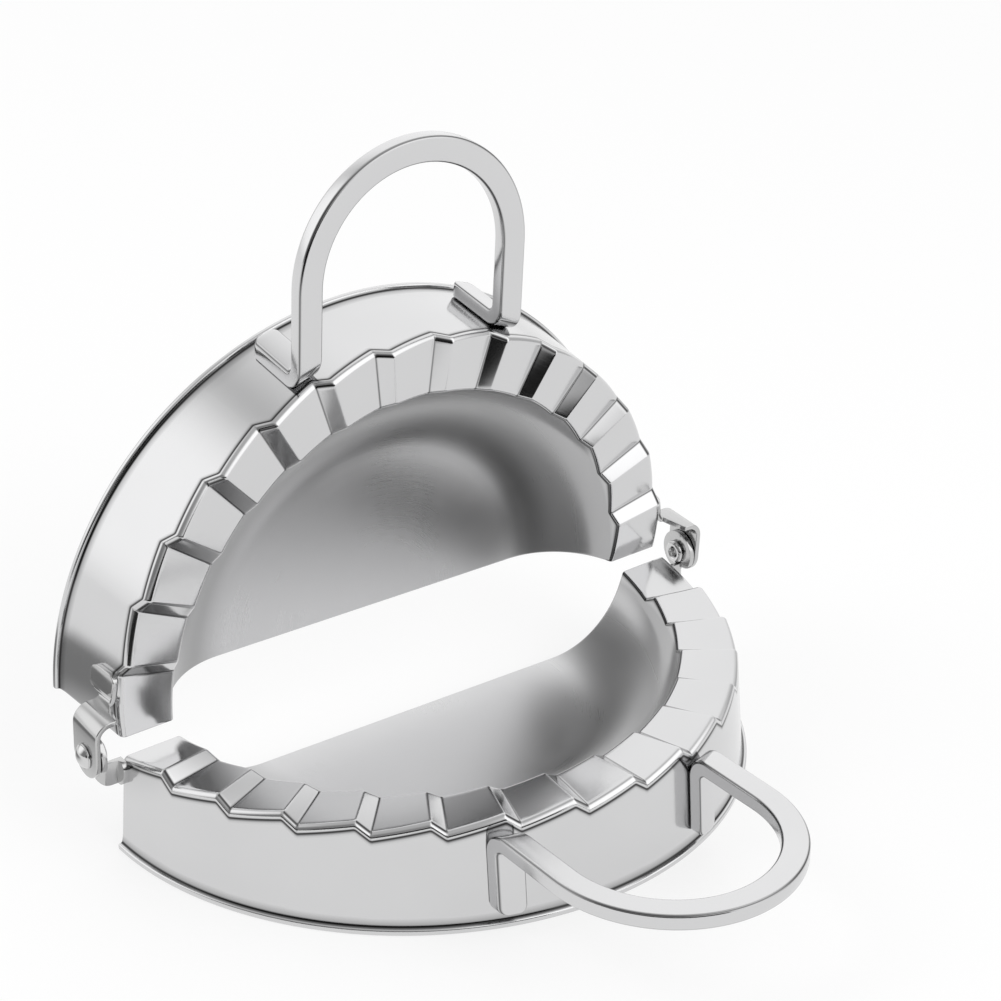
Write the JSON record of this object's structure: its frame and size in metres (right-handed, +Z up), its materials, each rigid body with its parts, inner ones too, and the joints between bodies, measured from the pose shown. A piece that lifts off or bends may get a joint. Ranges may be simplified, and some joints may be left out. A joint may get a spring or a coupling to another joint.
{
  "type": "dough press",
  "caption": "Hinged half-round stainless dough press with dished trays, toothed sealing rims, flared skirts and D handles, standing open.",
  "frame": {"origin": "on the table under the middle of the outline of the press as it stands open", "axes": "+X along the hinge line to the right as seen from the front, -Y to the front where the lower handle is, +Z up from the table; the lower half rests on its lip"},
  "size_m": [0.1364, 0.1192, 0.1194],
  "materials": {
    "pressed_sheet": "satin-polished stainless sheet",
    "bar": "tumbled and polished stainless flat bar",
    "leaf": "polished stainless strip",
    "rivet": "bright stainless rivet"
  },
  "bodies": {
    "lower": {"lower_shell": "pressed_sheet", "lower_handle": "bar", "lower_hinge_leaf_left": "leaf", "lower_hinge_leaf_right": "leaf"},
    "upper": {"upper_shell": "pressed_sheet", "upper_handle": "bar", "upper_hinge_leaf_left": "leaf", "upper_hinge_leaf_right": "leaf", "hinge_rivet_left": "rivet", "hinge_rivet_right": "rivet"}
  },
  "joints": [
    {"name": "closing_hinge", "type": "hinge", "parent": "lower", "child": "upper", "pos_m": [0, 0.03978, 0.02], "axis": [1, 0, 0], "range_deg": [-94, 86]}
  ]
}
